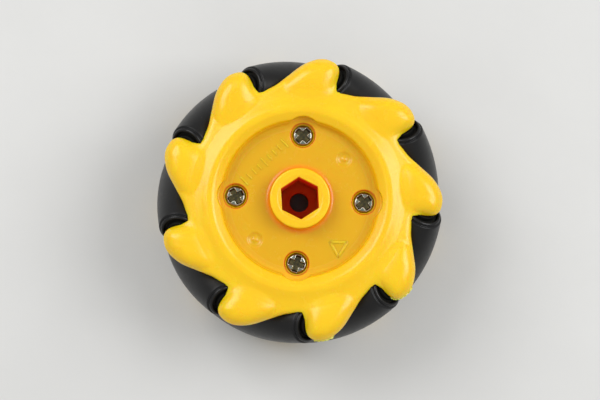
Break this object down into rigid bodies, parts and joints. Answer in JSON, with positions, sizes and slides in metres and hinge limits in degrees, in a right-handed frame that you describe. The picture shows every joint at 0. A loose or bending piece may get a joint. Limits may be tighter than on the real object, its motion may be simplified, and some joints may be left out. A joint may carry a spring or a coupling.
{
  "type": "mecanum wheel",
  "caption": "Small mecanum wheel: a lobed two-piece hub with a dished face and a hexagon socket, carrying free-turning rubber barrel rollers at 45 degrees.",
  "frame": {"origin": "centre of the wheel, on its axis and midway between its two faces", "axes": "+Z along the wheel's axis, out of the outer face that holds the screw heads; +X and +Y across it. The wheel lies flat, on its inner face."},
  "size_m": [0.0479, 0.048, 0.0226],
  "materials": {
    "hub_plastic": "glossy yellow moulded plastic",
    "roller_rubber": "satin black rubber",
    "roller_core": "black plastic",
    "pin_steel": "plain drawn steel",
    "screw_steel": "bright zinc-plated steel"
  },
  "bodies": {
    "hub": {"hub_front": "hub_plastic", "hub_back": "hub_plastic", "screw_1": "screw_steel", "screw_2": "screw_steel", "screw_3": "screw_steel", "screw_4": "screw_steel", "roller_pin_1": "pin_steel", "roller_pin_2": "pin_steel", "roller_pin_3": "pin_steel", "roller_pin_4": "pin_steel", "roller_pin_5": "pin_steel", "roller_pin_6": "pin_steel", "roller_pin_7": "pin_steel", "roller_pin_8": "pin_steel", "roller_pin_9": "pin_steel"},
    "roller_1": {"roller_rubber_1": "roller_rubber", "roller_core_1": "roller_core"},
    "roller_2": {"roller_rubber_2": "roller_rubber", "roller_core_2": "roller_core"},
    "roller_3": {"roller_rubber_3": "roller_rubber", "roller_core_3": "roller_core"},
    "roller_4": {"roller_rubber_4": "roller_rubber", "roller_core_4": "roller_core"},
    "roller_5": {"roller_rubber_5": "roller_rubber", "roller_core_5": "roller_core"},
    "roller_6": {"roller_rubber_6": "roller_rubber", "roller_core_6": "roller_core"},
    "roller_7": {"roller_rubber_7": "roller_rubber", "roller_core_7": "roller_core"},
    "roller_8": {"roller_rubber_8": "roller_rubber", "roller_core_8": "roller_core"},
    "roller_9": {"roller_rubber_9": "roller_rubber", "roller_core_9": "roller_core"}
  },
  "joints": [
    {"name": "roller_1_spin", "type": "hinge", "parent": "hub", "child": "roller_1", "pos_m": [0.01882, 0.00404, 0], "axis": [-0.1482, 0.6914, 0.7071], "continuous": true},
    {"name": "roller_2_spin", "type": "hinge", "parent": "hub", "child": "roller_2", "pos_m": [0.01183, 0.01519, 0], "axis": [-0.558, 0.4344, 0.7071], "continuous": true},
    {"name": "roller_3_spin", "type": "hinge", "parent": "hub", "child": "roller_3", "pos_m": [-0.00071, 0.01924, 0], "axis": [-0.7066, -0.0259, 0.7071], "continuous": true},
    {"name": "roller_4_spin", "type": "hinge", "parent": "hub", "child": "roller_4", "pos_m": [-0.01291, 0.01428, 0], "axis": [-0.5247, -0.4741, 0.7071], "continuous": true},
    {"name": "roller_5_spin", "type": "hinge", "parent": "hub", "child": "roller_5", "pos_m": [-0.01907, 0.00265, 0], "axis": [-0.0972, -0.7004, 0.7071], "continuous": true},
    {"name": "roller_6_spin", "type": "hinge", "parent": "hub", "child": "roller_6", "pos_m": [-0.01631, -0.01023, 0], "axis": [0.3758, -0.599, 0.7071], "continuous": true},
    {"name": "roller_7_spin", "type": "hinge", "parent": "hub", "child": "roller_7", "pos_m": [-0.00592, -0.01832, 0], "axis": [0.6729, -0.2173, 0.7071], "continuous": true},
    {"name": "roller_8_spin", "type": "hinge", "parent": "hub", "child": "roller_8", "pos_m": [0.00724, -0.01784, 0], "axis": [0.6552, 0.266, 0.7071], "continuous": true},
    {"name": "roller_9_spin", "type": "hinge", "parent": "hub", "child": "roller_9", "pos_m": [0.01701, -0.00901, 0], "axis": [0.3309, 0.6249, 0.7071], "continuous": true}
  ]
}
